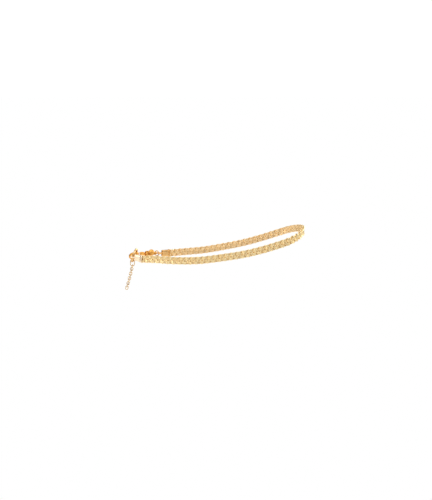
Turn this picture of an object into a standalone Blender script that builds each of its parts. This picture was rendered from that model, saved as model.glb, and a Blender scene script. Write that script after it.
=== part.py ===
"""A chain anklet, closed and hanging in its worn form.

A flat plaited band goes round the ankle from one end cap to the other. A lobster clasp on the back end
holds the end ring on the front end, and a short extender chain hangs from that ring.

The origin is the middle of the opening. +X points away from the clasp, the near strand is at -Y and +Z is up.
"""

import math

import bmesh
import bpy
import numpy as np
from mathutils import Matrix, Vector

MM = 0.001

# Clearances between neighbouring pieces
GAP = 0.30 * MM
LINK_GAP = 0.25 * MM

# The band
BAND_WIDTH = 4.0 * MM
BAND_THICKNESS = 1.6 * MM
# The plait's three strands each cross the band from edge to edge, so an edge has three lobes in a strand's wave.
STRANDS = 3
LOBE_PITCH = 3.4 * MM
STRAND_WIDTH = 1.75 * MM
STRAND_THICKNESS = 0.65 * MM
# The share of a third harmonic that keeps a strand longer at the band's edge
EDGE_STAY = 0.18

# The route of the band, as hand-chosen plan points of the near strand and the far strand.
# The two lists run from the clasp's end to the far turn.
NEAR_STRAND = [
    (-37.5, -10.3),
    (-32.7, -12.3),
    (-25.5, -14.7),
    (-15.9, -17.2),
    (-6.3, -18.4),
    (12.9, -20.7),
    (26.0, -21.7),
]
FAR_STRAND = [(-24.5, 15.0), (-15.9, 17.2), (-6.3, 18.4), (12.9, 20.7), (26.0, 21.7)]
TURN_CENTRE = 38.2 * MM
TURN_REACH = 12.4 * MM
TURN_HALF_WIDTH = 21.7 * MM

# The loop's height rises with the square of the distance from its lowest point.
LOW_POINT = -29.1 * MM
LOW_HEIGHT = -2.13 * MM
RISE_RADIUS = 194.0 * MM

# The end caps
CAP_WALL = 0.35 * MM
CAP_LENGTH = 5.4 * MM
CAP_TAPER = 0.82
CAP_ROUNDING = 0.45 * MM
CAP_EYE_RADIUS = 1.35 * MM
CAP_EYE_WIRE = 0.40 * MM
FRONT_CAP_WAY = (5.2, -2.7, -0.7)
BACK_CAP_WAY = (4.0, 2.4, -0.35)

# The end ring, nearly edge-on to the viewer and leaning
END_RING_BACK = -50.5 * MM
END_RING_DROP = -1.4 * MM
END_RING_RADIUS = 3.75 * MM
END_RING_WIRE = 0.65 * MM
END_RING_LEAN = 18.0
END_RING_SWING = -8.0
# Where the pieces on the end ring sit, in degrees from its top towards the far side
FRONT_CAP_SEAT = -95.0
CLASP_SEAT = 104.0
EXTENDER_SEAT = 180.0

# The lobster clasp: along is from the tail's eye to the nose, across is towards the lever
CLASP_WAY = (-12.5, -2.9, -1.1)
# The lever's side is rolled up by this angle.
CLASP_ROLL = 33.0
CLASP_REACH = 14.7 * MM
CLASP_HALF_WIDTH = 2.7 * MM
CLASP_ARM = 1.05 * MM
# The clasp is thicker across its own plane than its arm is wide.
CLASP_FULLNESS = 1.2
TAIL_EYE_RADIUS = 1.20 * MM
TAIL_EYE_WIRE = 0.50 * MM
HOOK_END = 9.8 * MM

# The lever and its pin
PIN_ALONG = 4.6 * MM
PIN_ACROSS = 0.75 * MM
PIN_RADIUS = 0.35 * MM
HUB_RADIUS = 1.15 * MM
HUB_THICKNESS = 1.1 * MM
CHEEK_RADIUS = 1.25 * MM
CHEEK_OUTSIDE = 3.0 * MM
LEVER_ARM = 0.45 * MM
GATE_RADIUS = 0.8 * MM
GATE_GAP = 0.4 * MM
TAB_LENGTH = 3.2 * MM
TAB_HEIGHT = 1.4 * MM
TAB_THICKNESS = 2.8 * MM
TAB_BEHIND_PIN = 2.4 * MM
TAB_CLEAR = 2.6 * MM

# The jump ring on the clasp's tail
CLASP_RING_RADIUS = 1.45 * MM
CLASP_RING_WIRE = 0.30 * MM
CLASP_RING_WAY = (2.8, 1.4, -0.2)

# The extender chain
EXTENDER_LINKS = 10
LINK_WIRE = 0.25 * MM
LINK_HALF_LENGTH = 1.12 * MM
LINK_HALF_WIDTH = 0.72 * MM
FIRST_LINK_WIRE = 0.28 * MM
FIRST_LINK_HALF_LENGTH = 2.1 * MM
FIRST_LINK_LEAN = 3.0
EXTENDER_LEAN = 12.5
EXTENDER_LEAN_STEP = 0.45

GOLD = (0.83, 0.60, 0.22, 1.0)
ORANGE_GOLD = (0.80, 0.50, 0.17, 1.0)
PALE_GOLD = (0.90, 0.72, 0.45, 1.0)


def clear_scene():
    for obj in list(bpy.data.objects):
        bpy.data.objects.remove(obj, do_unlink=True)


def new_collection(name):
    collection = bpy.data.collections.new(name)
    bpy.context.scene.collection.children.link(collection)
    return collection


def metal(name, colour, roughness):
    material = bpy.data.materials.new(name)
    material.use_nodes = True
    shader = material.node_tree.nodes["Principled BSDF"]
    shader.inputs["Base Color"].default_value = colour
    shader.inputs["Metallic"].default_value = 1.0
    shader.inputs["Roughness"].default_value = roughness
    return material


def frame_of(origin, along, up):
    """A matrix with its X axis along one direction and its Z axis as near as can be to another."""
    x_axis = Vector(along).normalized()
    y_axis = Vector(up).cross(x_axis).normalized()
    z_axis = x_axis.cross(y_axis)
    matrix = Matrix.Identity(4)
    for column, axis in enumerate((x_axis, y_axis, z_axis)):
        matrix[0][column], matrix[1][column], matrix[2][column] = axis
    matrix.translation = origin
    return matrix


def add_piece(name, mesh, matrix, material):
    piece = bpy.data.objects.new(name, mesh)
    piece.matrix_world = matrix
    mesh.materials.clear()
    mesh.materials.append(material)
    PARTS.objects.link(piece)
    return piece


def add_helper(name, mesh, matrix):
    helper = bpy.data.objects.new(name, mesh)
    helper.matrix_world = matrix
    helper.hide_render = True
    helper.display_type = "WIRE"
    CUTTERS.objects.link(helper)
    return helper


def boolean(piece, helper, operation):
    modifier = piece.modifiers.new(helper.name, "BOOLEAN")
    modifier.operation = operation
    modifier.solver = "EXACT"
    modifier.object = helper


def tube_mesh(name, points, radii, closed, resolution):
    """A round wire along some points, with a radius for each, as a closed mesh."""
    curve = bpy.data.curves.new(name, "CURVE")
    curve.dimensions = "3D"
    curve.bevel_depth = 1.0
    curve.bevel_resolution = resolution
    curve.use_fill_caps = True
    spline = curve.splines.new("POLY")
    spline.points.add(len(points) - 1)
    spline.use_cyclic_u = closed
    for spot, point, radius in zip(spline.points, points, radii):
        spot.co = (*point, 1.0)
        spot.radius = radius
    holder = bpy.data.objects.new(name, curve)
    CUTTERS.objects.link(holder)
    bpy.context.view_layer.update()
    evaluated = holder.evaluated_get(bpy.context.evaluated_depsgraph_get())
    mesh = bpy.data.meshes.new_from_object(evaluated)
    bpy.data.objects.remove(holder)
    shell = bmesh.new()
    shell.from_mesh(mesh)
    bmesh.ops.remove_doubles(shell, verts=shell.verts, dist=0.001 * MM)
    bmesh.ops.recalc_face_normals(shell, faces=shell.faces)
    shell.to_mesh(mesh)
    shell.free()
    mesh.shade_smooth()
    return mesh


def oval_mesh(name, half_length, half_width, wire):
    """A link whose centre line has straight sides and round ends, lying in its own XY plane, long way along X."""
    points = []
    steps = 6
    straight = half_length - half_width
    for side in (1, -1):
        for step in range(steps + 1):
            angle = math.pi * (step / steps - 0.5)
            x = side * (straight + half_width * math.cos(angle))
            y = side * half_width * math.sin(angle)
            points.append((x, y, 0.0))
    return tube_mesh(name, points, [wire] * len(points), True, 1)


def round_ring_mesh(name, radius, wire, steps=16):
    """A round ring in its own XY plane."""
    points = []
    for step in range(steps):
        angle = 2.0 * math.pi * (step + 0.5) / steps
        points.append((radius * math.cos(angle), radius * math.sin(angle), 0.0))
    return tube_mesh(name, points, [wire] * steps, True, 1)


def cylinder_mesh(name, radius, depth, steps):
    shell = bmesh.new()
    bmesh.ops.create_cone(shell, cap_ends=True, segments=steps, radius1=radius, radius2=radius, depth=depth)
    mesh = bpy.data.meshes.new(name)
    shell.to_mesh(mesh)
    shell.free()
    return mesh


def box_mesh(name, size):
    shell = bmesh.new()
    bmesh.ops.create_cube(shell, size=1.0)
    bmesh.ops.scale(shell, vec=size, verts=shell.verts)
    mesh = bpy.data.meshes.new(name)
    shell.to_mesh(mesh)
    shell.free()
    return mesh


def height(x):
    """The loop's height at a distance along X."""
    beyond = max(0.0, x - LOW_POINT)
    return LOW_HEIGHT + beyond * beyond / (2.0 * RISE_RADIUS)


def turn_points():
    """The far turn, half an ellipse from the near strand to the far one."""
    points = []
    steps = 8
    for step in range(steps + 1):
        angle = math.pi * (step / steps - 0.5)
        x = TURN_CENTRE + TURN_REACH * math.cos(angle)
        y = TURN_HALF_WIDTH * math.sin(angle)
        points.append(Vector((x, y, height(x))))
    return points


def strand_points(plan):
    return [Vector((x * MM, y * MM, height(x * MM))) for x, y in plan]


def smooth_path(points, spacing):
    """Points at even steps on a smooth curve through the given ones."""
    ends = [2 * points[0] - points[1]] + list(points) + [2 * points[-1] - points[-2]]
    fine = []
    for before, start, end, after in zip(ends, ends[1:], ends[2:], ends[3:]):
        for step in range(24):
            t = step / 24
            fine.append(
                0.5
                * (
                    2 * start
                    + (end - before) * t
                    + (2 * before - 5 * start + 4 * end - after) * t * t
                    + (3 * start - before - 3 * end + after) * t * t * t
                )
            )
    fine.append(points[-1].copy())
    fine = np.array([tuple(point) for point in fine])
    lengths = np.concatenate([[0.0], np.cumsum(np.linalg.norm(np.diff(fine, axis=0), axis=1))])
    count = max(2, round(lengths[-1] / spacing))
    stations = np.linspace(0.0, lengths[-1], count + 1)
    return np.stack([np.interp(stations, lengths, fine[:, axis]) for axis in range(3)], axis=1)


def ring_spot(angle):
    """A point on the end ring's wire, by its angle from the top."""
    turn = math.radians(angle)
    local = Vector((0.0, math.sin(turn), math.cos(turn))) * END_RING_RADIUS
    return END_RING_FRAME @ local


def make_end_ring():
    upright = END_RING_FRAME @ Matrix.Rotation(math.pi / 2, 4, "Y")
    mesh = round_ring_mesh("end_ring", END_RING_RADIUS, END_RING_WIRE)
    add_piece("end_ring", mesh, upright, metal("end ring gold", ORANGE_GOLD, 0.25))


def make_cap(name, eye_centre, way):
    """A cap with its eye. Returns the place and direction at which the band begins."""
    direction = Vector(way).normalized()
    width = BAND_WIDTH + 2 * CAP_WALL
    thickness = BAND_THICKNESS + 2 * CAP_WALL
    middle = eye_centre + direction * (CAP_EYE_RADIUS + CAP_LENGTH / 2)
    matrix = frame_of(middle, direction, (0, 0, 1))
    mesh = box_mesh(name, (CAP_LENGTH, thickness, width))
    for vertex in mesh.vertices:
        if vertex.co.x < 0:
            vertex.co.y *= CAP_TAPER
            vertex.co.z *= CAP_TAPER
    cap = add_piece(name, mesh, matrix, metal(name + " gold", PALE_GOLD, 0.15))
    rounding = cap.modifiers.new("rounding", "BEVEL")
    rounding.width = CAP_ROUNDING
    rounding.segments = 2
    rounding.limit_method = "NONE"
    eye_mesh = round_ring_mesh(name + "_eye", CAP_EYE_RADIUS, CAP_EYE_WIRE)
    eye = add_helper(name + "_eye", eye_mesh, frame_of(eye_centre, direction, (0, 0, 1)))
    boolean(cap, eye, "UNION")
    return middle + direction * (CAP_LENGTH / 2 + GAP)


def band_section(station, path):
    """The place, width axis and thickness axis of the band at a station of its path."""
    before = path[max(0, station - 1)]
    after = path[min(len(path) - 1, station + 1)]
    tangent = Vector(after - before).normalized()
    side = tangent.cross(Vector((0, 0, 1))).normalized()
    up = side.cross(tangent)
    return Vector(path[station]), up, side


def plait_reach(wave, direction):
    """How far the plait's outside is from the band's middle, in a direction across its section."""
    half_width = STRAND_WIDTH / 2
    half_thickness = STRAND_THICKNESS / 2
    reach = half_thickness
    for strand in range(STRANDS):
        turn = 2.0 * math.pi * (wave + strand / STRANDS)
        wander = (math.sin(turn) + EDGE_STAY * math.sin(3.0 * turn)) / (1.0 - EDGE_STAY)
        across = (BAND_WIDTH / 2 - half_width) * wander
        through = (BAND_THICKNESS / 2 - half_thickness) * math.sin(2.0 * turn)
        ray = np.array([direction[0] / half_width, direction[1] / half_thickness])
        centre = np.array([across / half_width, through / half_thickness])
        middle = ray.dot(centre)
        inside = middle * middle - ray.dot(ray) * (centre.dot(centre) - 1.0)
        if inside > 0.0:
            reach = max(reach, (middle + math.sqrt(inside)) / ray.dot(ray))
    return reach


def make_band(path, steps_per_lobe):
    """The plaited band as one solid: each section is the outline of the three strands where they lie there."""
    around = 14
    shell = bmesh.new()
    rings = []
    for station in range(len(path)):
        centre, up, side = band_section(station, path)
        wave = station / (steps_per_lobe * STRANDS)
        ring = []
        for corner in range(around):
            angle = 2.0 * math.pi * corner / around
            ray = Vector((BAND_WIDTH * math.cos(angle), BAND_THICKNESS * math.sin(angle))).normalized()
            reach = plait_reach(wave, ray)
            ring.append(shell.verts.new(centre + (up * ray.x + side * ray.y) * reach))
        rings.append(ring)
    for first, second in zip(rings, rings[1:]):
        for corner in range(around):
            following = (corner + 1) % around
            shell.faces.new((first[corner], second[corner], second[following], first[following]))
    shell.faces.new(rings[0])
    shell.faces.new(reversed(rings[-1]))
    bmesh.ops.triangulate(shell, faces=[face for face in shell.faces if len(face.verts) > 4])
    bmesh.ops.recalc_face_normals(shell, faces=shell.faces)
    mesh = bpy.data.meshes.new("band")
    shell.to_mesh(mesh)
    shell.free()
    mesh.shade_smooth()
    add_piece("band", mesh, Matrix.Identity(4), metal("band gold", GOLD, 0.3))


# The clasp's arm from the tail to the nose's curve, with columns for the share of the reach, the share of
# the half width and the share of the arm's radius.
ARM_SHAPE = [
    (0.075, 0.00, 0.85),
    (0.12, 0.00, 1.05),
    (0.20, -0.02, 1.18),
    (0.30, -0.12, 1.18),
    (0.40, -0.35, 1.12),
    (0.50, -0.65, 1.05),
    (0.60, -0.90, 1.00),
    (0.70, -1.00, 1.00),
]


def clasp_arm():
    """The points and radii of the hook's centre line, in the clasp's own frame."""
    points = []
    radii = []
    for along, across, thick in ARM_SHAPE:
        points.append((along * CLASP_REACH, across * CLASP_HALF_WIDTH, 0.0))
        radii.append(thick * CLASP_ARM)
    nose_centre = CLASP_REACH - CLASP_HALF_WIDTH
    steps = 8
    for step in range(steps + 1):
        angle = math.pi * (step / steps - 0.5)
        x = nose_centre + CLASP_HALF_WIDTH * math.cos(angle)
        y = CLASP_HALF_WIDTH * math.sin(angle)
        points.append((x, y, 0.0))
        radii.append(CLASP_ARM)
    for back, thick in ((0.40, 1.10), (0.0, 0.60)):
        points.append((HOOK_END + back * CLASP_ARM, CLASP_HALF_WIDTH, 0.0))
        radii.append(thick * CLASP_ARM)
    return points, radii


def make_clasp_body():
    points, radii = clasp_arm()
    mesh = tube_mesh("clasp_body", points, radii, False, 2)
    for vertex in mesh.vertices:
        vertex.co.z *= CLASP_FULLNESS
    body = add_piece("clasp_body", mesh, CLASP_FRAME, metal("clasp gold", ORANGE_GOLD, 0.2))
    tail_mesh = round_ring_mesh("clasp_tail_eye", TAIL_EYE_RADIUS, TAIL_EYE_WIRE)
    boolean(body, add_helper("clasp_tail_eye", tail_mesh, CLASP_FRAME), "UNION")
    pin_frame = CLASP_FRAME @ Matrix.Translation((PIN_ALONG, PIN_ACROSS, 0.0))
    cheeks = cylinder_mesh("clasp_cheeks", CHEEK_RADIUS, CHEEK_OUTSIDE, 16)
    boolean(body, add_helper("clasp_cheeks", cheeks, pin_frame), "UNION")
    slot_start = PIN_ALONG - TAB_BEHIND_PIN
    slot_end = PIN_ALONG + 2.7 * HUB_RADIUS
    slot_floor = PIN_ACROSS - HUB_RADIUS - GAP
    slot_top = CLASP_HALF_WIDTH + 2 * CLASP_ARM
    slot = box_mesh("clasp_slot", (slot_end - slot_start, slot_top - slot_floor, HUB_THICKNESS + 2 * GAP))
    slot_middle = Matrix.Translation(((slot_start + slot_end) / 2, (slot_floor + slot_top) / 2, 0.0))
    boolean(body, add_helper("clasp_slot", slot, CLASP_FRAME @ slot_middle), "DIFFERENCE")
    pin = cylinder_mesh("clasp_pin", PIN_RADIUS, CHEEK_OUTSIDE - 0.2 * MM, 12)
    boolean(body, add_helper("clasp_pin", pin, pin_frame), "UNION")


def make_clasp_lever():
    """The lever, with its origin on the pin's axis: a hub, a gate that closes the hook and a thumb tab."""
    pin_frame = CLASP_FRAME @ Matrix.Translation((PIN_ALONG, PIN_ACROSS, 0.0))
    lever = add_piece(
        "clasp_lever",
        cylinder_mesh("clasp_lever", HUB_RADIUS, HUB_THICKNESS, 16),
        pin_frame,
        metal("lever gold", ORANGE_GOLD, 0.2),
    )
    hole_radius = PIN_RADIUS + LINK_GAP
    in_hub = (hole_radius + HUB_RADIUS) / 2
    gate_end = HOOK_END - GATE_GAP - PIN_ALONG
    gate_line = CLASP_HALF_WIDTH - PIN_ACROSS
    shoulder = Vector((0.45 * gate_end, 0.80 * gate_line, 0.0))
    gate = [
        (shoulder.normalized() * in_hub, LEVER_ARM),
        (shoulder * 0.75, LEVER_ARM),
        (shoulder, 0.75 * GATE_RADIUS),
        (Vector((0.62 * gate_end, 0.95 * gate_line, 0.0)), GATE_RADIUS),
        (Vector((0.92 * gate_end, gate_line, 0.0)), GATE_RADIUS),
        (Vector((gate_end, gate_line, 0.0)), 0.55 * GATE_RADIUS),
    ]
    gate_mesh = tube_mesh("lever_gate", [spot for spot, _ in gate], [size for _, size in gate], False, 2)
    boolean(lever, add_helper("lever_gate", gate_mesh, pin_frame), "UNION")
    tab = Vector((-TAB_BEHIND_PIN, TAB_CLEAR, 0.0))
    arm_mesh = tube_mesh("lever_arm", [tab.normalized() * in_hub, tab], [LEVER_ARM, LEVER_ARM], False, 2)
    boolean(lever, add_helper("lever_arm", arm_mesh, pin_frame), "UNION")
    shell = bmesh.new()
    bmesh.ops.create_uvsphere(shell, u_segments=12, v_segments=8, radius=0.5)
    bmesh.ops.scale(shell, vec=(TAB_LENGTH, TAB_HEIGHT, TAB_THICKNESS), verts=shell.verts)
    tab_mesh = bpy.data.meshes.new("lever_tab")
    shell.to_mesh(tab_mesh)
    shell.free()
    boolean(lever, add_helper("lever_tab", tab_mesh, pin_frame @ Matrix.Translation(tab)), "UNION")
    hole = cylinder_mesh("lever_hole", hole_radius, 2 * HUB_THICKNESS, 12)
    boolean(lever, add_helper("lever_hole", hole, pin_frame), "DIFFERENCE")


def make_extender():
    """The links below the end ring, each turned a quarter from the one above and leaning a little more."""
    clear = END_RING_WIRE + LINK_GAP + FIRST_LINK_WIRE
    anchor = ring_spot(EXTENDER_SEAT)
    lean = math.radians(FIRST_LINK_LEAN)
    down = Vector((-math.sin(lean), 0.0, -math.cos(lean)))
    width = END_RING_WIRE + LINK_GAP + FIRST_LINK_WIRE
    centre = anchor + down * (FIRST_LINK_HALF_LENGTH - clear)
    mesh = oval_mesh("extender_link_00", FIRST_LINK_HALF_LENGTH, width, FIRST_LINK_WIRE)
    material = metal("extender gold", GOLD, 0.25)
    add_piece("extender_link_00", mesh, frame_of(centre, down, (0, 1, 0)), material)
    end = centre + down * FIRST_LINK_HALF_LENGTH
    wire_above = FIRST_LINK_WIRE
    for number in range(1, EXTENDER_LINKS + 1):
        lean = math.radians(EXTENDER_LEAN + EXTENDER_LEAN_STEP * number)
        down = Vector((-math.sin(lean), 0.0, -math.cos(lean)))
        top = end - down * (wire_above + LINK_GAP + LINK_WIRE)
        centre = top + down * LINK_HALF_LENGTH
        facing = (1, 0, 0) if number % 2 else (0, 1, 0)
        name = f"extender_link_{number:02d}"
        mesh = oval_mesh(name, LINK_HALF_LENGTH, LINK_HALF_WIDTH, LINK_WIRE)
        add_piece(name, mesh, frame_of(centre, down, facing), metal(name + " gold", GOLD, 0.25))
        end = centre + down * LINK_HALF_LENGTH
        wire_above = LINK_WIRE


clear_scene()
PARTS = new_collection("chain anklet")
CUTTERS = new_collection("cutters")

ring_lean = Matrix.Rotation(math.radians(END_RING_LEAN), 4, "Y")
ring_swing = Matrix.Rotation(math.radians(END_RING_SWING), 4, "Z")
END_RING_FRAME = Matrix.Translation((END_RING_BACK, 0.0, END_RING_DROP)) @ ring_swing @ ring_lean

# The clasp's nose holds the end ring's wire, which fixes where its tail's eye is. The wire passes the rolled
# claw at a slant, so it has twice the usual gap there.
clasp_direction = Vector(CLASP_WAY).normalized()
claw_seat = CLASP_REACH - CLASP_ARM - 4 * GAP - END_RING_WIRE
tail_eye = ring_spot(CLASP_SEAT) - clasp_direction * claw_seat
clasp_roll = Matrix.Rotation(math.radians(CLASP_ROLL), 4, "X")
CLASP_FRAME = frame_of(tail_eye, clasp_direction, (0, 0, 1)) @ clasp_roll

# The jump ring passes through the clasp's tail eye and the back cap's eye.
ring_way = Vector(CLASP_RING_WAY).normalized()
tail_play = TAIL_EYE_RADIUS - TAIL_EYE_WIRE - LINK_GAP - CLASP_RING_WIRE
cap_play = CAP_EYE_RADIUS - CAP_EYE_WIRE - LINK_GAP - CLASP_RING_WIRE
ring_centre = tail_eye + ring_way * (tail_play + CLASP_RING_RADIUS)
back_eye = ring_centre + ring_way * (CLASP_RING_RADIUS + cap_play)

make_end_ring()
near_start = make_cap("front_cap", ring_spot(FRONT_CAP_SEAT), FRONT_CAP_WAY)
far_end = make_cap("back_cap", back_eye, BACK_CAP_WAY)
make_clasp_body()
make_clasp_lever()
jump_ring = round_ring_mesh("clasp_ring", CLASP_RING_RADIUS, CLASP_RING_WIRE, 14)
# The jump ring's plane lies between upright, as the cap's eye needs, and square to the clasp's eye.
between = Vector((0, 0, 1)) + CLASP_FRAME.to_3x3().col[2]
jump_side = ring_way.cross(between)
add_piece("clasp_ring", jump_ring, frame_of(ring_centre, ring_way, jump_side), metal("jump ring gold", GOLD, 0.25))
make_extender()

route = [near_start] + strand_points(NEAR_STRAND) + turn_points() + strand_points(reversed(FAR_STRAND)) + [far_end]
steps_in_a_lobe = 5
make_band(smooth_path(route, LOBE_PITCH / steps_in_a_lobe), steps_in_a_lobe)
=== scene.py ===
"""The chain anklet, dressed for its picture: a plaited gold band with polished caps, a lobster clasp,
its rings and the extender chain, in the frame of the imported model. Lengths are in metres."""

import math

import bmesh
import bpy
import numpy as np
from mathutils import Matrix, Vector


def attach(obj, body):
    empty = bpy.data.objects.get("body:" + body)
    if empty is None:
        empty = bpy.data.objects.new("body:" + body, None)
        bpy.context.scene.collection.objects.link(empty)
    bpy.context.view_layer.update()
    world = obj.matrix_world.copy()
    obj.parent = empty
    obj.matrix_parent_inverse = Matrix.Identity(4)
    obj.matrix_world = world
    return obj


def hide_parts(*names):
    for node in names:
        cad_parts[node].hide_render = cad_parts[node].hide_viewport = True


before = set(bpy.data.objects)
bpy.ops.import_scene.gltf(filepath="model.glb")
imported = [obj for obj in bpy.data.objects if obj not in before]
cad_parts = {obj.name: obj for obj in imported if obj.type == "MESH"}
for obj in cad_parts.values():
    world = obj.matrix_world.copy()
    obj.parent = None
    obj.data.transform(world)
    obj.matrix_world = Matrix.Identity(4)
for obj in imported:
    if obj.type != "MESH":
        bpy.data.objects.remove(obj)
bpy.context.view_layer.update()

MM = 0.001

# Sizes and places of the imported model, repeated here so that each piece lies where its node lies
GAP = 0.30 * MM
LINK_GAP = 0.25 * MM
BAND_WIDTH = 4.0 * MM
BAND_THICKNESS = 1.6 * MM
LOBE_PITCH = 3.4 * MM
STEPS_IN_A_LOBE = 5
STRANDS = 3
NEAR_STRAND = [
    (-37.5, -10.3),
    (-32.7, -12.3),
    (-25.5, -14.7),
    (-15.9, -17.2),
    (-6.3, -18.4),
    (12.9, -20.7),
    (26.0, -21.7),
]
FAR_STRAND = [(-24.5, 15.0), (-15.9, 17.2), (-6.3, 18.4), (12.9, 20.7), (26.0, 21.7)]
TURN_CENTRE = 38.2 * MM
TURN_REACH = 12.4 * MM
TURN_HALF_WIDTH = 21.7 * MM
LOW_POINT = -29.1 * MM
LOW_HEIGHT = -2.13 * MM
RISE_RADIUS = 194.0 * MM
CAP_WALL = 0.35 * MM
CAP_LENGTH = 5.4 * MM
CAP_TAPER = 0.82
CAP_ROUNDING = 0.45 * MM
CAP_EYE_RADIUS = 1.35 * MM
CAP_EYE_WIRE = 0.40 * MM
FRONT_CAP_WAY = (5.2, -2.7, -0.7)
BACK_CAP_WAY = (4.0, 2.4, -0.35)
END_RING_BACK = -50.5 * MM
END_RING_DROP = -1.4 * MM
END_RING_RADIUS = 3.75 * MM
END_RING_WIRE = 0.65 * MM
END_RING_LEAN = 18.0
END_RING_SWING = -8.0
FRONT_CAP_SEAT = -95.0
CLASP_SEAT = 104.0
EXTENDER_SEAT = 180.0
CLASP_WAY = (-12.5, -2.9, -1.1)
CLASP_ROLL = 33.0
CLASP_REACH = 14.7 * MM
CLASP_HALF_WIDTH = 2.7 * MM
CLASP_ARM = 1.05 * MM
CLASP_FULLNESS = 1.2
TAIL_EYE_RADIUS = 1.20 * MM
TAIL_EYE_WIRE = 0.50 * MM
HOOK_END = 9.8 * MM
PIN_ALONG = 4.6 * MM
PIN_ACROSS = 0.75 * MM
PIN_RADIUS = 0.35 * MM
HUB_RADIUS = 1.15 * MM
HUB_THICKNESS = 1.1 * MM
CHEEK_RADIUS = 1.25 * MM
CHEEK_OUTSIDE = 3.0 * MM
LEVER_ARM = 0.45 * MM
GATE_RADIUS = 0.8 * MM
GATE_GAP = 0.4 * MM
TAB_LENGTH = 3.2 * MM
TAB_HEIGHT = 1.4 * MM
TAB_THICKNESS = 2.8 * MM
TAB_BEHIND_PIN = 2.4 * MM
TAB_CLEAR = 2.6 * MM
CLASP_RING_RADIUS = 1.45 * MM
CLASP_RING_WIRE = 0.30 * MM
CLASP_RING_WAY = (2.8, 1.4, -0.2)
EXTENDER_LINKS = 10
LINK_WIRE = 0.25 * MM
LINK_HALF_LENGTH = 1.12 * MM
LINK_HALF_WIDTH = 0.72 * MM
FIRST_LINK_WIRE = 0.28 * MM
FIRST_LINK_HALF_LENGTH = 2.1 * MM
FIRST_LINK_LEAN = 3.0
EXTENDER_LEAN = 12.5
EXTENDER_LEAN_STEP = 0.45

# The plait: each strand is a ribbon of five wires side by side, and crosses the band from edge to edge
WIRES_IN_A_STRAND = 5
WIRE_HALF_WIDTH = 0.175 * MM
WIRE_HALF_THICKNESS = 0.24 * MM
WIRE_SPACING = 0.35 * MM
STRAND_SWING = 1.19 * MM
EDGE_STAY = 0.22
STRAND_DEPTH = 0.46 * MM
STRAND_TILT = 0.22
SAMPLES_IN_A_WAVE = 40
WIRE_SIDES = 8
POCKET_DEPTH = 1.5 * MM
ROUTE_SAMPLES = 4001
POCKET_SAMPLES = 7
MEAN_HALF_WINDOW = 4
# How strongly painted shade darkens the wires near the band's middle, and how fast it fades outward.
PAINTED_SHADE_MOST = 0.9
PAINTED_SHADE_FALL = 1.6

# Fine detail that only the picture has
CURVE_STEPS = 24
ROUND_END_SHARES = (0.35, 0.65, 0.85, 0.96)
SEAM_DEPTH = 0.16
SEAM_LENGTH = 0.30
JOINT_SWELL = 0.10
JOINT_LENGTH = 0.35
CAP_LIP_HEIGHT = 0.10 * MM
CAP_LIP_LENGTH = 0.75 * MM
CAP_MOUTH_EDGE = 0.14 * MM
CAP_MOUTH_WALL = 0.20 * MM
CAP_MOUTH_BEVEL = 0.06 * MM
CAP_MOUTH_DEPTH = 1.6 * MM
CAP_CORNER = 1.5 * CAP_ROUNDING
CAP_MOUTH_CORNER = 1.3 * CAP_ROUNDING
SOLDER_ROWS = 7
SOLDER_SIDES = 24
SOLDER_INSIDE = 0.12 * MM
SOLDER_LENGTH = 0.62 * MM
SOLDER_FOOT = 1.75
SOLDER_TAPER = 0.80
SOLDER_WIDENING = 1.55
SLOT_AHEAD = 2.7 * HUB_RADIUS
CHEEK_ROUNDING = 0.25 * MM
HUB_ROUNDING = 0.12 * MM
PIN_SHORTER = 0.2 * MM
CLAW_VOXEL = 0.075 * MM
LEVER_VOXEL = 0.065 * MM
POLISH_PASSES = 4


# Meshes


def mesh_from(name, points, faces, smooth=True):
    """A mesh of the given points and faces."""
    mesh = bpy.data.meshes.new(name)
    mesh.from_pydata([tuple(point) for point in points], [], faces)
    mesh.update()
    if smooth:
        mesh.shade_smooth()
    return mesh


def tube_rings(centres, axes_one, axes_two, radii, sides):
    """The points of a round wire: a ring of them at each centre, between two directions across the wire."""
    angles = 2.0 * np.pi * np.arange(sides) / sides
    across = np.cos(angles)[None, :, None] * axes_one[:, None, :]
    across = across + np.sin(angles)[None, :, None] * axes_two[:, None, :]
    return centres[:, None, :] + radii[:, None, None] * across


def tube_faces(rings, sides, first, closed):
    """The faces between a wire's rings of points, with an end face at each end of an open wire."""
    faces = []
    for ring in range(rings if closed else rings - 1):
        following = (ring + 1) % rings
        for side in range(sides):
            beside = (side + 1) % sides
            faces.append(
                (
                    first + ring * sides + side,
                    first + ring * sides + beside,
                    first + following * sides + beside,
                    first + following * sides + side,
                )
            )
    if not closed:
        faces.append(tuple(first + side for side in reversed(range(sides))))
        faces.append(tuple(first + (rings - 1) * sides + side for side in range(sides)))
    return faces


def wire_along(name, centres, radii, sides, closed):
    """A wire along a centre line in the XY plane, closed or open."""
    centres = np.array(centres)
    radii = np.array(radii)
    if closed:
        tangents = np.roll(centres, -1, axis=0) - np.roll(centres, 1, axis=0)
    else:
        tangents = np.gradient(centres, axis=0)
    tangents /= np.linalg.norm(tangents, axis=1)[:, None]
    axes_one = np.tile([0.0, 0.0, 1.0], (len(centres), 1))
    axes_two = np.cross(tangents, axes_one)
    axes_two /= np.linalg.norm(axes_two, axis=1)[:, None]
    rings = tube_rings(centres, axes_one, axes_two, radii, sides)
    return mesh_from(name, rings.reshape(-1, 3), tube_faces(len(centres), sides, 0, closed))


def ring_mesh(name, radius, wire, steps=96, sides=20, seam=None):
    """A round ring in its own XY plane. Its wire's ends meet in a fine joint at the seam's angle."""
    angles = 2.0 * np.pi * np.arange(steps) / steps
    centres = np.stack([radius * np.cos(angles), radius * np.sin(angles), np.zeros(steps)], axis=1)
    radii = np.full(steps, wire)
    if seam is not None:
        away = np.abs((angles - seam + np.pi) % (2.0 * np.pi) - np.pi) * radius
        radii = radii * (1.0 - SEAM_DEPTH * np.exp(-((away / (SEAM_LENGTH * wire)) ** 2)))
    return wire_along(name, centres, radii, sides, True)


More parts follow.
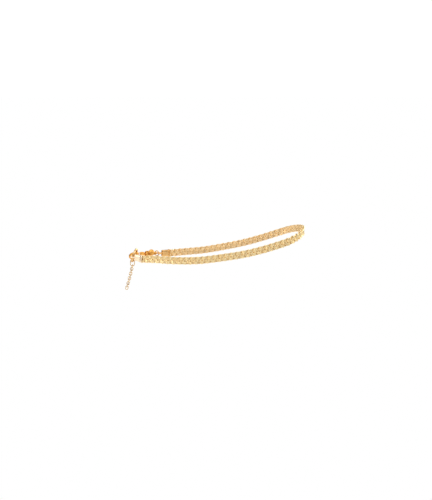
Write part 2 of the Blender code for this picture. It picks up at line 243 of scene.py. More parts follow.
def oval_mesh(name, half_length, half_width, wire, steps=14, sides=14):
    """A link with straight sides and round ends, long way along X, with a soldered joint on one side."""
    straight = half_length - half_width
    centres = []
    for side in (1, -1):
        for step in range(steps + 1):
            angle = math.pi * (step / steps - 0.5)
            along = straight + half_width * math.cos(angle)
            centres.append((side * along, side * half_width * math.sin(angle), 0.0))
        for share in (0.25, 0.45, 0.5, 0.55, 0.75):
            centres.append((side * straight * (1.0 - 2.0 * share), side * half_width, 0.0))
    radii = []
    for x, y, _ in centres:
        joint = math.exp(-((x / (JOINT_LENGTH * wire)) ** 2)) if y > 0 else 0.0
        radii.append(wire * (1.0 + JOINT_SWELL * joint))
    return wire_along(name, centres, radii, sides, True)


def lengths_along(points):
    """The way gone at each point of a line."""
    return np.concatenate([[0.0], np.cumsum(np.linalg.norm(np.diff(points, axis=0), axis=1))])


def interpolated(stations, marks, rows):
    """The rows' values at stations between their marks."""
    return np.stack([np.interp(stations, marks, column) for column in rows.T], axis=1)


def curve_through(points, count):
    """Rows of x, y, z and radius at even steps along a smooth curve through the given rows."""
    rows = np.array(points, dtype=float)
    ends = np.vstack([2 * rows[0] - rows[1], rows, 2 * rows[-1] - rows[-2]])
    fine = []
    for before, start, end, after in zip(ends, ends[1:], ends[2:], ends[3:]):
        for step in range(CURVE_STEPS):
            t = step / CURVE_STEPS
            fine.append(
                0.5
                * (
                    2 * start
                    + (end - before) * t
                    + (2 * before - 5 * start + 4 * end - after) * t * t
                    + (3 * start - before - 3 * end + after) * t * t * t
                )
            )
    fine.append(rows[-1])
    fine = np.array(fine)
    lengths = lengths_along(fine[:, :3])
    return interpolated(np.linspace(0.0, lengths[-1], count), lengths, fine)


def rounded_arm(name, points, radii, sides=20, count=90):
    """A flat-lying arm of changing thickness with round ends."""
    rows = curve_through([(*point, radius) for point, radius in zip(points, radii)], count)
    centres = list(rows[:, :3])
    sizes = list(rows[:, 3])
    for end in (0, -1):
        way = centres[end] - centres[1 if end == 0 else -2]
        way /= np.linalg.norm(way)
        size = sizes[end]
        tip = centres[end].copy()
        for share in ROUND_END_SHARES:
            spot = tip + way * size * share
            radius = size * math.sqrt(1.0 - share * share)
            if end == 0:
                centres.insert(0, spot)
                sizes.insert(0, radius)
            else:
                centres.append(spot)
                sizes.append(radius)
    return wire_along(name, centres, sizes, sides, False)


def cylinder_mesh(name, radius, depth, steps, rounding=0.0):
    """A disc or pin, whose edges can be rounded over."""
    low = -depth / 2
    high = depth / 2
    profile = [(0.0, low)]
    if rounding:
        inner = radius - rounding
        angles = [math.pi / 2 * step / 4 for step in range(5)]
        for angle in angles:
            profile.append((inner + rounding * math.sin(angle), low + rounding * (1 - math.cos(angle))))
        for angle in angles:
            profile.append((inner + rounding * math.cos(angle), high - rounding * (1 - math.sin(angle))))
    else:
        profile += [(radius, low), (radius, high)]
    profile.append((0.0, high))
    points = [(0.0, 0.0, profile[0][1])]
    for r, z in profile[1:-1]:
        for step in range(steps):
            angle = 2.0 * math.pi * step / steps
            points.append((r * math.cos(angle), r * math.sin(angle), z))
    points.append((0.0, 0.0, profile[-1][1]))
    rows = len(profile) - 2
    faces = []
    for step in range(steps):
        beside = (step + 1) % steps
        faces.append((0, 1 + beside, 1 + step))
        for row in range(rows - 1):
            a = 1 + row * steps
            faces.append((a + step, a + beside, a + steps + beside, a + steps + step))
        top = 1 + (rows - 1) * steps
        faces.append((len(points) - 1, top + step, top + beside))
    return mesh_from(name, points, faces)


def mesh_of(name, shell):
    """A mesh from a shell, which isn't needed after."""
    mesh = bpy.data.meshes.new(name)
    shell.to_mesh(mesh)
    shell.free()
    return mesh


def box_mesh(name, size):
    """A box of the given size round its own middle."""
    shell = bmesh.new()
    bmesh.ops.create_cube(shell, size=1.0)
    bmesh.ops.scale(shell, vec=size, verts=shell.verts)
    return mesh_of(name, shell)


def egg_mesh(name, size):
    """A ball that is stretched to the given size round its own middle."""
    shell = bmesh.new()
    bmesh.ops.create_uvsphere(shell, u_segments=32, v_segments=20, radius=0.5)
    bmesh.ops.scale(shell, vec=size, verts=shell.verts)
    return mesh_of(name, shell)


def evaluated_mesh(holder):
    """The mesh that an object's modifiers make of its own."""
    bpy.context.view_layer.update()
    return bpy.data.meshes.new_from_object(holder.evaluated_get(bpy.context.evaluated_depsgraph_get()))


def cast_mesh(name, steps, voxel):
    """One cast piece: meshes joined or cut away in turn, with its edges softened as by polishing."""
    helpers = []
    first = bpy.data.objects.new(name, steps[0][1].copy())
    bpy.context.scene.collection.objects.link(first)
    helpers.append(first)
    for operation, mesh in steps[1:]:
        tool = bpy.data.objects.new(name + "_tool", mesh)
        bpy.context.scene.collection.objects.link(tool)
        helpers.append(tool)
        modifier = first.modifiers.new("shape", "BOOLEAN")
        modifier.operation = operation
        modifier.solver = "EXACT"
        modifier.object = tool
    remesh = first.modifiers.new("cast", "REMESH")
    remesh.mode = "VOXEL"
    remesh.voxel_size = voxel
    remesh.use_smooth_shade = True
    soften = first.modifiers.new("polish", "SMOOTH")
    soften.factor = 0.5
    soften.iterations = POLISH_PASSES
    mesh = evaluated_mesh(first)
    for helper in helpers:
        bpy.data.objects.remove(helper)
    mesh.name = name
    mesh.shade_smooth()
    return mesh


def joined(name, meshes):
    """Meshes put together as one."""
    shell = bmesh.new()
    for mesh in meshes:
        shell.from_mesh(mesh)
    result = mesh_of(name, shell)
    result.shade_smooth()
    return result


def placed(mesh, matrix):
    """The same mesh, moved."""
    mesh.transform(matrix)
    return mesh


def frame_of(origin, along, up):
    """A matrix with its X axis along one direction and its Z axis as near as can be to another."""
    x_axis = Vector(along).normalized()
    y_axis = Vector(up).cross(x_axis).normalized()
    z_axis = x_axis.cross(y_axis)
    matrix = Matrix.Identity(4)
    for column, axis in enumerate((x_axis, y_axis, z_axis)):
        matrix[0][column], matrix[1][column], matrix[2][column] = axis
    matrix.translation = origin
    return matrix


def add_piece(name, mesh, material, body, slot, *nodes):
    """Puts a visible piece in the scene, on its body and in the place of its nodes."""
    piece = bpy.data.objects.new(name, mesh)
    bpy.context.scene.collection.objects.link(piece)
    mesh.materials.clear()
    mesh.materials.append(material)
    bpy.context.view_layer.update()
    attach(piece, body)
    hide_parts(*nodes)


# Materials

# How far either side of the loop's middle the painted reflection's warmer tone is spread.
PAINTED_REFLECTION_REACH = 12.0 * MM
DULL_PATCHES_IN_A_CLOUD = 2.6
SCRATCH_STRETCH = (1.0, 9.0, 9.0)
SCRATCHES_IN_A_METRE = 1500.0
SCRATCH_HEIGHT = 0.02 * MM


def gold(name, light, deep, roughness, rough_spread, cloud_size, scratch_depth, painted_shade_tone=None, far=None):
    """Polished gold plating with a slow change of tone, hairline scratches and duller patches.

    The shade tone is painted where a piece's painted-shade attribute is high, as between the wires of the
    plait: painted shade, standing in for the shade that falls between them.
    far is the warmer tone painted towards the loop's far side: a painted reflection, standing in for the gold
    that the far strand's inner face reflects of the near strand.
    """
    material = bpy.data.materials.new(name)
    material.use_nodes = True
    nodes = material.node_tree.nodes
    links = material.node_tree.links
    shader = nodes["Principled BSDF"]
    shader.inputs["Metallic"].default_value = 1.0
    shader.inputs["Specular Tint"].default_value = (*(0.3 + 0.7 * share for share in light), 1.0)
    place = nodes.new("ShaderNodeTexCoord")

    cloud = nodes.new("ShaderNodeTexNoise")
    cloud.inputs["Scale"].default_value = 1.0 / cloud_size
    cloud.inputs["Detail"].default_value = 3.0
    links.new(place.outputs["Object"], cloud.inputs["Vector"])
    tone = nodes.new("ShaderNodeMix")
    tone.data_type = "RGBA"
    tone.inputs["A"].default_value = (*light, 1.0)
    tone.inputs["B"].default_value = (*deep, 1.0)
    spread = nodes.new("ShaderNodeMapRange")
    spread.inputs["From Min"].default_value = 0.35
    spread.inputs["From Max"].default_value = 0.68
    links.new(cloud.outputs["Fac"], spread.inputs["Value"])
    links.new(spread.outputs["Result"], tone.inputs["Factor"])
    colour = tone.outputs["Result"]
    # Painted reflection: the colour turns warmer towards the loop's far side, standing in for the gold
    # reflected there.
    if far is not None:
        parts = nodes.new("ShaderNodeSeparateXYZ")
        links.new(place.outputs["Object"], parts.inputs["Vector"])
        across = nodes.new("ShaderNodeMapRange")
        across.inputs["From Min"].default_value = -PAINTED_REFLECTION_REACH
        across.inputs["From Max"].default_value = PAINTED_REFLECTION_REACH
        links.new(parts.outputs["Y"], across.inputs["Value"])
        warm = nodes.new("ShaderNodeMix")
        warm.data_type = "RGBA"
        warm.inputs["B"].default_value = (*far, 1.0)
        links.new(across.outputs["Result"], warm.inputs["Factor"])
        links.new(colour, warm.inputs["A"])
        colour = warm.outputs["Result"]
    # Painted shade: the darker, warmer tone is painted where the shade attribute is high, between the plait's
    # wires.
    if painted_shade_tone is not None:
        painted_shade = nodes.new("ShaderNodeAttribute")
        painted_shade.attribute_name = "painted_shade"
        dark = nodes.new("ShaderNodeMix")
        dark.data_type = "RGBA"
        dark.inputs["B"].default_value = (*painted_shade_tone, 1.0)
        links.new(painted_shade.outputs["Fac"], dark.inputs["Factor"])
        links.new(colour, dark.inputs["A"])
        colour = dark.outputs["Result"]
    links.new(colour, shader.inputs["Base Color"])

    dull = nodes.new("ShaderNodeTexNoise")
    dull.inputs["Scale"].default_value = DULL_PATCHES_IN_A_CLOUD / cloud_size
    dull.inputs["Detail"].default_value = 5.0
    dull.inputs["Roughness"].default_value = 0.6
    links.new(place.outputs["Object"], dull.inputs["Vector"])
    gloss = nodes.new("ShaderNodeMapRange")
    gloss.inputs["From Min"].default_value = 0.3
    gloss.inputs["From Max"].default_value = 0.7
    gloss.inputs["To Min"].default_value = roughness
    gloss.inputs["To Max"].default_value = roughness + rough_spread
    links.new(dull.outputs["Fac"], gloss.inputs["Value"])
    links.new(gloss.outputs["Result"], shader.inputs["Roughness"])

    stretch = nodes.new("ShaderNodeMapping")
    stretch.inputs["Rotation"].default_value = (0.4, 0.7, 0.3)
    stretch.inputs["Scale"].default_value = SCRATCH_STRETCH
    links.new(place.outputs["Object"], stretch.inputs["Vector"])
    scratches = nodes.new("ShaderNodeTexNoise")
    scratches.inputs["Scale"].default_value = SCRATCHES_IN_A_METRE
    scratches.inputs["Detail"].default_value = 4.0
    scratches.inputs["Roughness"].default_value = 0.7
    links.new(stretch.outputs["Vector"], scratches.inputs["Vector"])
    bump = nodes.new("ShaderNodeBump")
    bump.inputs["Strength"].default_value = scratch_depth
    bump.inputs["Distance"].default_value = SCRATCH_HEIGHT
    links.new(scratches.outputs["Fac"], bump.inputs["Height"])
    links.new(bump.outputs["Normal"], shader.inputs["Normal"])
    return material


BAND_GOLD = gold(
    "plait gold",
    light=(0.95, 0.80, 0.49),
    deep=(0.93, 0.74, 0.41),
    roughness=0.26,
    rough_spread=0.12,
    cloud_size=6.0 * MM,
    scratch_depth=0.25,
    # painted shade between the plait's wires
    painted_shade_tone=(0.85, 0.62, 0.30),
    # painted reflection, warmer towards the loop's far side
    far=(0.955, 0.735, 0.44),
)
# The front cap's pale, pinkish tone is a painted reflection of the white surroundings in its polished face.
CAP_GOLD = gold(
    "cap gold",
    light=(0.98, 0.80, 0.60),
    deep=(0.96, 0.75, 0.52),
    roughness=0.22,
    rough_spread=0.10,
    cloud_size=3.0 * MM,
    scratch_depth=0.10,
)
# The back cap's darker, redder tone is a painted reflection of the gold around it; both caps are of the same
# metal.
BACK_CAP_GOLD = gold(
    "back cap gold",
    light=(0.82, 0.50, 0.20),
    deep=(0.76, 0.42, 0.15),
    roughness=0.16,
    rough_spread=0.10,
    cloud_size=3.0 * MM,
    scratch_depth=0.15,
)
CLASP_GOLD = gold(
    "clasp gold",
    light=(0.80, 0.42, 0.11),
    deep=(0.74, 0.36, 0.08),
    roughness=0.30,
    rough_spread=0.12,
    cloud_size=4.0 * MM,
    scratch_depth=0.15,
)
RING_GOLD = gold(
    "ring gold",
    light=(0.76, 0.51, 0.25),
    deep=(0.68, 0.42, 0.17),
    roughness=0.16,
    rough_spread=0.10,
    cloud_size=3.0 * MM,
    scratch_depth=0.15,
)
JUMP_RING_GOLD = gold(
    "jump ring gold",
    light=(0.72, 0.50, 0.26),
    deep=(0.62, 0.40, 0.18),
    roughness=0.14,
    rough_spread=0.10,
    cloud_size=2.0 * MM,
    scratch_depth=0.15,
)
EXTENDER_GOLD = gold(
    "extender gold",
    light=(0.80, 0.62, 0.40),
    deep=(0.66, 0.48, 0.28),
    roughness=0.14,
    rough_spread=0.10,
    cloud_size=2.0 * MM,
    scratch_depth=0.15,
)


# Where the pieces are


def height(x):
    """The height of the band's middle at a place along X."""
    beyond = max(0.0, x - LOW_POINT)
    return LOW_HEIGHT + beyond * beyond / (2.0 * RISE_RADIUS)


ring_lean = Matrix.Rotation(math.radians(END_RING_LEAN), 4, "Y")
ring_swing = Matrix.Rotation(math.radians(END_RING_SWING), 4, "Z")
END_RING_FRAME = Matrix.Translation((END_RING_BACK, 0.0, END_RING_DROP)) @ ring_swing @ ring_lean


def ring_spot(angle):
    """A point on the end ring's wire, by its angle from the top."""
    turn = math.radians(angle)
    return END_RING_FRAME @ (Vector((0.0, math.sin(turn), math.cos(turn))) * END_RING_RADIUS)


clasp_direction = Vector(CLASP_WAY).normalized()
claw_seat = CLASP_REACH - CLASP_ARM - 4 * GAP - END_RING_WIRE
tail_eye = ring_spot(CLASP_SEAT) - clasp_direction * claw_seat
clasp_roll = Matrix.Rotation(math.radians(CLASP_ROLL), 4, "X")
CLASP_FRAME = frame_of(tail_eye, clasp_direction, (0, 0, 1)) @ clasp_roll
PIN_FRAME = CLASP_FRAME @ Matrix.Translation((PIN_ALONG, PIN_ACROSS, 0.0))
ring_way = Vector(CLASP_RING_WAY).normalized()
tail_play = TAIL_EYE_RADIUS - TAIL_EYE_WIRE - LINK_GAP - CLASP_RING_WIRE
cap_play = CAP_EYE_RADIUS - CAP_EYE_WIRE - LINK_GAP - CLASP_RING_WIRE
ring_centre = tail_eye + ring_way * (tail_play + CLASP_RING_RADIUS)
back_eye = ring_centre + ring_way * (CLASP_RING_RADIUS + cap_play)
front_eye = ring_spot(FRONT_CAP_SEAT)
front_way = Vector(FRONT_CAP_WAY).normalized()
back_way = Vector(BACK_CAP_WAY).normalized()
near_start = front_eye + front_way * (CAP_EYE_RADIUS + CAP_LENGTH + GAP)
far_end = back_eye + back_way * (CAP_EYE_RADIUS + CAP_LENGTH + GAP)


# The band


def band_route():
    """Points along the band's middle, from the front cap's mouth round the turn to the back cap's."""
    near = [Vector((x * MM, y * MM, height(x * MM))) for x, y in NEAR_STRAND]
    far = [Vector((x * MM, y * MM, height(x * MM))) for x, y in reversed(FAR_STRAND)]
    turn = []
    for step in range(9):
        angle = math.pi * (step / 8 - 0.5)
        x = TURN_CENTRE + TURN_REACH * math.cos(angle)
        turn.append(Vector((x, TURN_HALF_WIDTH * math.sin(angle), height(x))))
    return [near_start] + near + turn + far + [far_end]


def band_frames():
    """Places along the band from inside one cap to inside the other, the waves up to each and its axes."""
    fine = curve_through([(*point, 0.0) for point in band_route()], ROUTE_SAMPLES)[:, :3]
    lengths = lengths_along(fine)
    length = lengths[-1]
    waves = round(length / (LOBE_PITCH / STEPS_IN_A_LOBE)) / (STEPS_IN_A_LOBE * STRANDS)
    reach = np.linspace(0.0, POCKET_DEPTH + GAP, POCKET_SAMPLES + 1)[1:]
    before = np.array(near_start)[None, :] - reach[::-1, None] * np.array(front_way)[None, :]
    after = np.array(far_end)[None, :] - reach[:, None] * np.array(back_way)[None, :]
    places = np.vstack([before, fine, after])
    marks = np.concatenate([-reach[::-1], lengths, length + reach])
    count = round((marks[-1] - marks[0]) / length * waves * SAMPLES_IN_A_WAVE)
    stations = np.linspace(marks[0], marks[-1], count)
    centres = interpolated(stations, marks, places)
    # A short running mean takes out the small kink at each cap's mouth.
    half = MEAN_HALF_WINDOW
    window = np.ones(2 * half + 1) / (2 * half + 1)
    padded = np.vstack([centres[:1]] * half + [centres] + [centres[-1:]] * half)
    smooth = np.stack([np.convolve(column, window, "valid") for column in padded.T], axis=1)
    smooth[:half] = centres[:half]
    smooth[-half:] = centres[-half:]
    tangents = np.gradient(smooth, axis=0)
    tangents /= np.linalg.norm(tangents, axis=1)[:, None]
    side = np.cross(tangents, np.array([0.0, 0.0, 1.0]))
    side /= np.linalg.norm(side, axis=1)[:, None]
    up = np.cross(side, tangents)
    return smooth, stations, stations / length * waves, up, side


def make_plait():
    """The three strands, each of wires side by side, woven over and under one another."""
    centres, stations, wave, up, side = band_frames()
    step = stations[1] - stations[0]
    for strand in range(STRANDS):
        phase = 2.0 * np.pi * (wave + strand / STRANDS)
        middle = STRAND_SWING * (np.sin(phase) + EDGE_STAY * np.sin(3.0 * phase)) / (1.0 - EDGE_STAY)
        depth = STRAND_DEPTH * np.sin(2.0 * phase)
        tilt = STRAND_TILT * np.cos(phase)
        stretch = np.sqrt(1.0 + (np.gradient(middle) / step) ** 2)
        points = []
        faces = []
        painted_shade = []
        for wire in range(WIRES_IN_A_STRAND):
            beside = (wire - (WIRES_IN_A_STRAND - 1) / 2) * WIRE_SPACING * stretch
            across = middle + beside * np.cos(tilt)
            through = depth + beside * np.sin(tilt)
            line = centres + across[:, None] * up + through[:, None] * side
            tangents = np.gradient(line, axis=0)
            tangents /= np.linalg.norm(tangents, axis=1)[:, None]
            one = side - np.sum(side * tangents, axis=1)[:, None] * tangents
            one /= np.linalg.norm(one, axis=1)[:, None]
            two = np.cross(tangents, one)
            one *= WIRE_HALF_THICKNESS / WIRE_HALF_WIDTH
            rings = tube_rings(line, one, two, np.full(len(line), WIRE_HALF_WIDTH), WIRE_SIDES)
            faces += tube_faces(len(line), WIRE_SIDES, len(points) * WIRE_SIDES, False)
            points += list(rings)
            # Painted shade: a point near the band's middle lies between the strands, and its colour is
            # darkened there to stand in for the shade that falls between the wires.
            outward = np.abs(np.einsum("rsk,rk->rs", rings - centres[:, None, :], side))
            share = outward / (BAND_THICKNESS / 2)
            painted_shade.append(np.clip(PAINTED_SHADE_MOST - PAINTED_SHADE_FALL * share, 0.0, 1.0).reshape(-1))
        name = f"plait_strand_{strand + 1}"
        mesh = mesh_from(name, np.array(points).reshape(-1, 3), faces)
        shade = mesh.attributes.new("painted_shade", "FLOAT", "POINT")
        shade.data.foreach_set("value", np.concatenate(painted_shade))
        add_piece(name, mesh, BAND_GOLD, "anklet", "band_gold", "band")


# The caps


def rounded_section(half_width, half_thickness, rounding, x):
    """A rounded rectangle across the cap, as points from one side round to it again."""
    points = []
    rounding = min(rounding, half_width, half_thickness)
    for corner, (y_sign, z_sign) in enumerate(((1, 1), (-1, 1), (-1, -1), (1, -1))):
        for step in range(9):
            angle = math.pi / 2 * (corner + step / 8)
            y = y_sign * (half_thickness - rounding) + rounding * math.cos(angle)
            z = z_sign * (half_width - rounding) + rounding * math.sin(angle)
            points.append((x, y, z))
        if corner % 2 == 0:
            for share in (0.33, 0.67):
                y = (1 - 2 * share) * y_sign * (half_thickness - rounding)
                points.append((x, y, z_sign * half_width))
        else:
            for share in (0.2, 0.4, 0.6, 0.8):
                z = (1 - 2 * share) * z_sign * (half_width - rounding)
                points.append((x, y_sign * half_thickness, z))
    return points


def cap_mesh(name, eye_centre, way):
    """A polished cap: a tapered box with soft edges, a raised lip at the band's end and an eye."""
    half_length = CAP_LENGTH / 2
    wide = BAND_WIDTH / 2 + CAP_WALL
    thick = BAND_THICKNESS / 2 + CAP_WALL
    lip = CAP_LIP_HEIGHT

    def share_at(x):
        return CAP_TAPER + (1.0 - CAP_TAPER) * (x + half_length) / CAP_LENGTH

    sections = []
    for step in range(7):
        angle = math.pi / 2 * step / 6
        x = -half_length + CAP_ROUNDING * (1.0 - math.cos(angle))
        inset = CAP_ROUNDING * (1.0 - math.sin(angle))
        sections.append((x, wide * share_at(x) - inset, thick * share_at(x) - inset, CAP_CORNER))
    body_end = half_length - CAP_LIP_LENGTH
    for step in range(1, 7):
        x = -half_length + CAP_ROUNDING + (body_end + half_length - CAP_ROUNDING) * step / 6
        sections.append((x, wide * share_at(x) - lip, thick * share_at(x) - lip, CAP_CORNER))
    for step in range(9):
        angle = math.pi * step / 8
        x = body_end + CAP_LIP_LENGTH / 2 * (1.0 - math.cos(angle))
        swell = lip * math.sin(angle)
        sections.append((x, wide - lip + swell, thick - lip + swell, CAP_CORNER))
    mouth = (0.0, CAP_MOUTH_EDGE), (CAP_MOUTH_BEVEL, CAP_MOUTH_WALL), (CAP_MOUTH_DEPTH, CAP_MOUTH_WALL)
    for inward, wall in mouth:
        sections.append((half_length - inward, wide - lip - wall, thick - lip - wall, CAP_MOUTH_CORNER))
    points = []
    for x, half_width, half_thickness, rounding in sections:
        points += rounded_section(half_width, half_thickness, rounding, x)
    around = len(rounded_section(wide, thick, CAP_ROUNDING, 0.0))
    faces = tube_faces(len(sections), around, 0, False)
    shell = mesh_from(name, points, faces)
    eye = ring_mesh(name + "_eye", CAP_EYE_RADIUS, CAP_EYE_WIRE, steps=64, sides=18)
    placed(eye, Matrix.Translation((-half_length - CAP_EYE_RADIUS, 0.0, 0.0)))
    # The solder runs up from the cap's face round the eye.
    fillet = []
    for row in range(SOLDER_ROWS):
        share = row / (SOLDER_ROWS - 1)
        x = -half_length + SOLDER_INSIDE - share * SOLDER_LENGTH
        size = CAP_EYE_WIRE * (SOLDER_FOOT - SOLDER_TAPER * math.sin(share * math.pi / 2))
        for corner in range(SOLDER_SIDES):
            angle = 2.0 * math.pi * corner / SOLDER_SIDES
            fillet.append((x, size * SOLDER_WIDENING * math.cos(angle), size * math.sin(angle)))
    solder = mesh_from(name + "_solder", fillet, tube_faces(SOLDER_ROWS, SOLDER_SIDES, 0, False))
    middle = eye_centre + way * (CAP_EYE_RADIUS + CAP_LENGTH / 2)
    return placed(joined(name, [shell, eye, solder]), frame_of(middle, way, (0, 0, 1)))


# The clasp

# The arm from its tail to its nose: shares of the clasp's reach, of its half width and of the arm's radius
ARM_SHAPE = [
    (0.075, 0.00, 0.85),
    (0.12, 0.00, 1.05),
    (0.20, -0.02, 1.18),
    (0.30, -0.12, 1.18),
    (0.40, -0.35, 1.12),
    (0.50, -0.65, 1.05),
    (0.60, -0.90, 1.00),
    (0.70, -1.00, 1.00),
]
# The hook's end: shares of the arm's radius back from the gate's side, and of the radius itself
HOOK_SHAPE = [(1.00, 1.05), (0.80, 0.85)]
# The gate up to its tip: shares of its length, of its height and of its radius
GATE_SHAPE = [(0.45, 0.80, 0.75), (0.62, 0.95, 1.00), (0.85, 1.00, 1.00)]


def clasp_body_mesh():
    """The claw, its cheeks, its tail's eye and its pin, as one polished casting."""
    points = []
    radii = []
    for along, across, thick in ARM_SHAPE:
        points.append((along * CLASP_REACH, across * CLASP_HALF_WIDTH, 0.0))
        radii.append(thick * CLASP_ARM)
    nose_centre = CLASP_REACH - CLASP_HALF_WIDTH
    for step in range(9):
        angle = math.pi * (step / 8 - 0.5)
        along = nose_centre + CLASP_HALF_WIDTH * math.cos(angle)
        points.append((along, CLASP_HALF_WIDTH * math.sin(angle), 0.0))
        radii.append(CLASP_ARM)
    for back, thick in HOOK_SHAPE:
        points.append((HOOK_END + back * CLASP_ARM, CLASP_HALF_WIDTH, 0.0))
        radii.append(thick * CLASP_ARM)
    arm = rounded_arm("claw", points, radii, 24, 120)
    placed(arm, Matrix.Diagonal((1.0, 1.0, CLASP_FULLNESS, 1.0)))
    pin_place = Matrix.Translation((PIN_ALONG, PIN_ACROSS, 0.0))
    slot_start = PIN_ALONG - TAB_BEHIND_PIN
    slot_end = PIN_ALONG + SLOT_AHEAD
    slot_floor = PIN_ACROSS - HUB_RADIUS - GAP
    slot_top = CLASP_HALF_WIDTH + 2 * CLASP_ARM
    slot = box_mesh("slot", (slot_end - slot_start, slot_top - slot_floor, HUB_THICKNESS + 2 * GAP))
    placed(slot, Matrix.Translation(((slot_start + slot_end) / 2, (slot_floor + slot_top) / 2, 0.0)))
    cheeks = placed(cylinder_mesh("cheeks", CHEEK_RADIUS, CHEEK_OUTSIDE, 40, CHEEK_ROUNDING), pin_place)
    pin = placed(cylinder_mesh("pin", PIN_RADIUS, CHEEK_OUTSIDE - PIN_SHORTER, 24), pin_place)
    eye = ring_mesh("tail_eye", TAIL_EYE_RADIUS, TAIL_EYE_WIRE, steps=48, sides=16)
    steps = [("BASE", arm), ("UNION", eye), ("UNION", cheeks), ("DIFFERENCE", slot), ("UNION", pin)]
    return placed(cast_mesh("clasp_claw", steps, CLAW_VOXEL), CLASP_FRAME)


def lever_mesh():
    """The thumb lever: a hub with a hole, a gate that closes the claw and a tab for the thumb."""
    hole_radius = PIN_RADIUS + LINK_GAP
    in_hub = (hole_radius + HUB_RADIUS) / 2
    gate_end = HOOK_END - GATE_GAP - PIN_ALONG
    gate_line = CLASP_HALF_WIDTH - PIN_ACROSS
    spots = [Vector((along * gate_end, across * gate_line, 0.0)) for along, across, _ in GATE_SHAPE]
    spots = [spots[0].normalized() * in_hub, spots[0] * 0.75] + spots
    sizes = [LEVER_ARM, LEVER_ARM] + [thick * GATE_RADIUS for _, _, thick in GATE_SHAPE]
    gate_mesh = rounded_arm("gate", spots, sizes, 20, 50)
    tab = Vector((-TAB_BEHIND_PIN, TAB_CLEAR, 0.0))
    middle = (tab.normalized() * in_hub + tab) / 2
    arm_rows = [tab.normalized() * in_hub, middle, tab]
    arm = rounded_arm("lever_arm", arm_rows, [LEVER_ARM, LEVER_ARM, LEVER_ARM], 16, 20)
    tab_mesh = placed(egg_mesh("tab", (TAB_LENGTH, TAB_HEIGHT, TAB_THICKNESS)), Matrix.Translation(tab))
    hub = cylinder_mesh("hub", HUB_RADIUS, HUB_THICKNESS, 40, HUB_ROUNDING)
    hole = cylinder_mesh("hole", hole_radius, 2 * HUB_THICKNESS, 24)
    steps = [("BASE", hub), ("UNION", gate_mesh), ("UNION", arm), ("UNION", tab_mesh), ("DIFFERENCE", hole)]
    return placed(cast_mesh("clasp_thumb_lever", steps, LEVER_VOXEL), PIN_FRAME)


# The extender


def make_extender():
    """The longer link on the end ring and the small links below it, each hung in the one above."""
    clear = END_RING_WIRE + LINK_GAP + FIRST_LINK_WIRE
    lean = math.radians(FIRST_LINK_LEAN)
    down = Vector((-math.sin(lean), 0.0, -math.cos(lean)))
    centre = ring_spot(EXTENDER_SEAT) + down * (FIRST_LINK_HALF_LENGTH - clear)
    mesh = oval_mesh("link_00", FIRST_LINK_HALF_LENGTH, clear, FIRST_LINK_WIRE)
    placed(mesh, frame_of(centre, down, (0, 1, 0)))
    add_piece("link_00", mesh, EXTENDER_GOLD, "anklet", "extender_gold", "extender_link_00")
    end = centre + down * FIRST_LINK_HALF_LENGTH
    wire_above = FIRST_LINK_WIRE
    for number in range(1, EXTENDER_LINKS + 1):
        lean = math.radians(EXTENDER_LEAN + EXTENDER_LEAN_STEP * number)
        down = Vector((-math.sin(lean), 0.0, -math.cos(lean)))
        top = end - down * (wire_above + LINK_GAP + LINK_WIRE)
        centre = top + down * LINK_HALF_LENGTH
        facing = (1, 0, 0) if number % 2 else (0, 1, 0)
        name = f"link_{number:02d}"
        mesh = oval_mesh(name, LINK_HALF_LENGTH, LINK_HALF_WIDTH, LINK_WIRE)
        placed(mesh, frame_of(centre, down, facing))
        add_piece(name, mesh, EXTENDER_GOLD, "anklet", "extender_gold", f"extender_{name}")
        end = centre + down * LINK_HALF_LENGTH
        wire_above = LINK_WIRE


make_plait()
cap_front = cap_mesh("cap_front", front_eye, front_way)
cap_back = cap_mesh("cap_back", back_eye, back_way)
add_piece("cap_front", cap_front, CAP_GOLD, "anklet", "cap_gold", "front_cap")
add_piece("cap_back", cap_back, BACK_CAP_GOLD, "anklet", "cap_gold", "back_cap")
upright = END_RING_FRAME @ Matrix.Rotation(math.pi / 2, 4, "Y")
end_ring = ring_mesh("ring_end", END_RING_RADIUS, END_RING_WIRE, steps=120, sides=22, seam=0.6)
placed(end_ring, upright)
add_piece("ring_end", end_ring, RING_GOLD, "anklet", "ring_gold", "end_ring")
between = Vector((0, 0, 1)) + CLASP_FRAME.to_3x3().col[2]
jump_place = frame_of(ring_centre, ring_way, ring_way.cross(between))
jump_ring = ring_mesh("ring_jump", CLASP_RING_RADIUS, CLASP_RING_WIRE, steps=80, sides=16, seam=1.5)
placed(jump_ring, jump_place)
add_piece("ring_jump", jump_ring, JUMP_RING_GOLD, "anklet", "ring_gold", "clasp_ring")
add_piece("clasp_claw", clasp_body_mesh(), CLASP_GOLD, "anklet", "clasp_gold", "clasp_body")
add_piece("clasp_thumb_lever", lever_mesh(), CLASP_GOLD, "lever", "lever_gold", "clasp_lever")
make_extender()


# The stage, the light and the camera

FLOOR_HALF = 12.0
FLOOR_HEIGHT = -0.060
FLOOR_BRIGHT_TO = 0.28
FLOOR_DARK_FROM = 0.62
PICTURE_SHAPE = 432 / 500
CAMERA_DISTANCE = 0.6
CAMERA_ELEVATION = math.radians(9.5)
CAMERA_TARGET = Vector((-1.5, 0.0, 1.8)) * MM


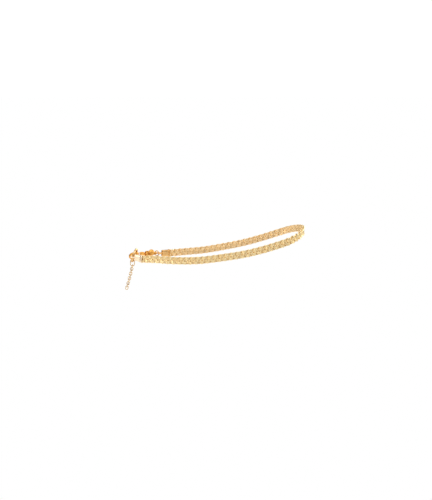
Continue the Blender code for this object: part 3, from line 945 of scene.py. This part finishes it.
def make_floor():
    """A plain white floor, which looks white from everywhere."""
    material = bpy.data.materials.new("floor white")
    material.use_nodes = True
    nodes = material.node_tree.nodes
    links = material.node_tree.links
    nodes.remove(nodes["Principled BSDF"])
    place = nodes.new("ShaderNodeTexCoord")
    distance = nodes.new("ShaderNodeVectorMath")
    distance.operation = "LENGTH"
    links.new(place.outputs["Object"], distance.inputs[0])
    # What the metal reflects of it is bright by the anklet and darker far off, which gives the edges form.
    fading = nodes.new("ShaderNodeMapRange")
    fading.inputs["From Min"].default_value = FLOOR_BRIGHT_TO
    fading.inputs["From Max"].default_value = FLOOR_DARK_FROM
    fading.inputs["To Min"].default_value = 1.12
    fading.inputs["To Max"].default_value = 0.36
    links.new(distance.outputs["Value"], fading.inputs["Value"])
    path = nodes.new("ShaderNodeLightPath")
    seen = nodes.new("ShaderNodeMix")
    seen.data_type = "FLOAT"
    seen.inputs["B"].default_value = 1.0
    links.new(path.outputs["Is Camera Ray"], seen.inputs["Factor"])
    links.new(fading.outputs["Result"], seen.inputs["A"])
    glow = nodes.new("ShaderNodeEmission")
    links.new(seen.outputs["Result"], glow.inputs["Strength"])
    links.new(glow.outputs["Emission"], nodes["Material Output"].inputs["Surface"])
    signs = ((-1, -1), (1, -1), (1, 1), (-1, 1))
    corners = [(x * FLOOR_HALF, y * FLOOR_HALF, FLOOR_HEIGHT) for x, y in signs]
    mesh = mesh_from("floor", corners, [(0, 1, 2, 3)], smooth=False)
    mesh.materials.append(material)
    floor = bpy.data.objects.new("floor", mesh)
    bpy.context.scene.collection.objects.link(floor)


def make_world():
    """Soft white light from all round, brighter above and darker near the horizon, to give the metal form."""
    world = bpy.data.worlds.new("studio")
    bpy.context.scene.world = world
    world.use_nodes = True
    nodes = world.node_tree.nodes
    links = world.node_tree.links
    background = nodes["Background"]
    background.inputs["Strength"].default_value = 1.25
    place = nodes.new("ShaderNodeTexCoord")
    parts = nodes.new("ShaderNodeSeparateXYZ")
    links.new(place.outputs["Generated"], parts.inputs["Vector"])
    ramp = nodes.new("ShaderNodeValToRGB")
    level, top = ramp.color_ramp.elements
    level.position = 0.0
    level.color = (0.50, 0.50, 0.50, 1.0)
    top.position = 0.85
    top.color = (0.85, 0.85, 0.85, 1.0)
    dark = ramp.color_ramp.elements.new(0.12)
    dark.color = (0.22, 0.20, 0.18, 1.0)
    bright = ramp.color_ramp.elements.new(0.42)
    bright.color = (0.70, 0.70, 0.70, 1.0)
    links.new(parts.outputs["Z"], ramp.inputs["Fac"])
    path = nodes.new("ShaderNodeLightPath")
    mix = nodes.new("ShaderNodeMix")
    mix.data_type = "RGBA"
    mix.inputs["B"].default_value = (1.0, 1.0, 1.0, 1.0)
    links.new(path.outputs["Is Camera Ray"], mix.inputs["Factor"])
    links.new(ramp.outputs["Color"], mix.inputs["A"])
    links.new(mix.outputs["Result"], background.inputs["Color"])


def make_softbox(name, place, size, power):
    """A soft light that faces the anklet and isn't seen itself."""
    light = bpy.data.lights.new(name, "AREA")
    light.shape = "RECTANGLE"
    light.size, light.size_y = size
    light.energy = power
    lamp = bpy.data.objects.new(name, light)
    lamp.location = place
    lamp.rotation_euler = Vector(place).to_track_quat("Z", "Y").to_euler()
    lamp.visible_camera = False
    bpy.context.scene.collection.objects.link(lamp)


def make_camera():
    """The picture's frame is 300 mm high at the anklet, seen from a little above."""
    camera = bpy.data.cameras.new("camera")
    camera.sensor_fit = "VERTICAL"
    camera.sensor_height = 24.0
    camera.sensor_width = 24.0 * PICTURE_SHAPE
    camera.lens = 48.0
    camera.clip_start = 0.02
    camera.clip_end = 60.0
    viewer = bpy.data.objects.new("camera", camera)
    away = Vector((0.0, -math.cos(CAMERA_ELEVATION), math.sin(CAMERA_ELEVATION)))
    viewer.location = CAMERA_TARGET + CAMERA_DISTANCE * away
    viewer.rotation_euler = (math.pi / 2 - CAMERA_ELEVATION, 0.0, 0.0)
    bpy.context.scene.collection.objects.link(viewer)
    bpy.context.scene.camera = viewer


make_floor()
make_world()
make_softbox("softbox_above", (-0.3, -0.5, 1.1), (0.9, 0.7), 3.0)
make_softbox("softbox_right", (1.1, -0.2, 0.45), (0.5, 0.6), 2.4)
make_softbox("softbox_low", (-1.1, -0.55, 0.12), (0.35, 0.30), 1.8)
make_softbox("softbox_behind", (0.6, 1.05, 0.3), (0.6, 0.5), 7.0)
make_camera()
bpy.context.scene.view_settings.view_transform = "Standard"
